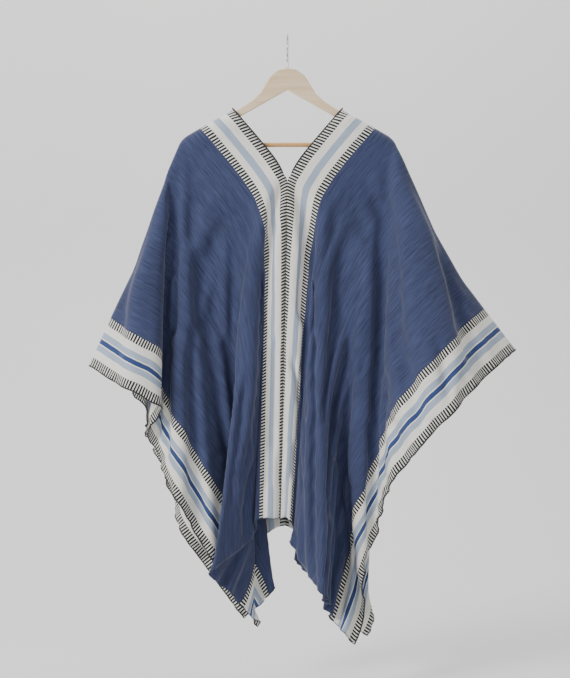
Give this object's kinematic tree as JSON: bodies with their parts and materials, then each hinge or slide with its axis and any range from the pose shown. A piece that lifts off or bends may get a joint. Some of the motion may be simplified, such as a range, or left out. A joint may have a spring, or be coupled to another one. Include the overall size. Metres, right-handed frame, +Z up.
{
  "type": "andean poncho on a hanger",
  "caption": "Open-sided poncho of two warp-striped woven panels with laddered borders, hanging with soft folds from a wooden hanger with a wire hook.",
  "frame": {"origin": "inside the top of the hook's bend, where it hangs on a rail or nail", "axes": "+Z up, +X the viewer's right, -Y the front"},
  "size_m": [0.9309, 0.2355, 1.3189],
  "materials": {
    "blue_wool": "matte warp-faced weave",
    "black_wool": "matte corded edge",
    "pale_wood": "satin varnish",
    "bar_wood": "satin varnish",
    "hook_wire": "dull grey wire"
  },
  "bodies": {
    "root": {"left_panel_front": "blue_wool", "left_panel_back": "blue_wool", "right_panel_front": "blue_wool", "right_panel_back": "blue_wool", "left_neck_binding": "black_wool", "right_neck_binding": "black_wool", "left_edge_binding": "black_wool", "right_edge_binding": "black_wool", "hanger_body": "pale_wood", "hanger_bar": "bar_wood", "hanger_hook": "hook_wire"}
  },
  "joints": []
}
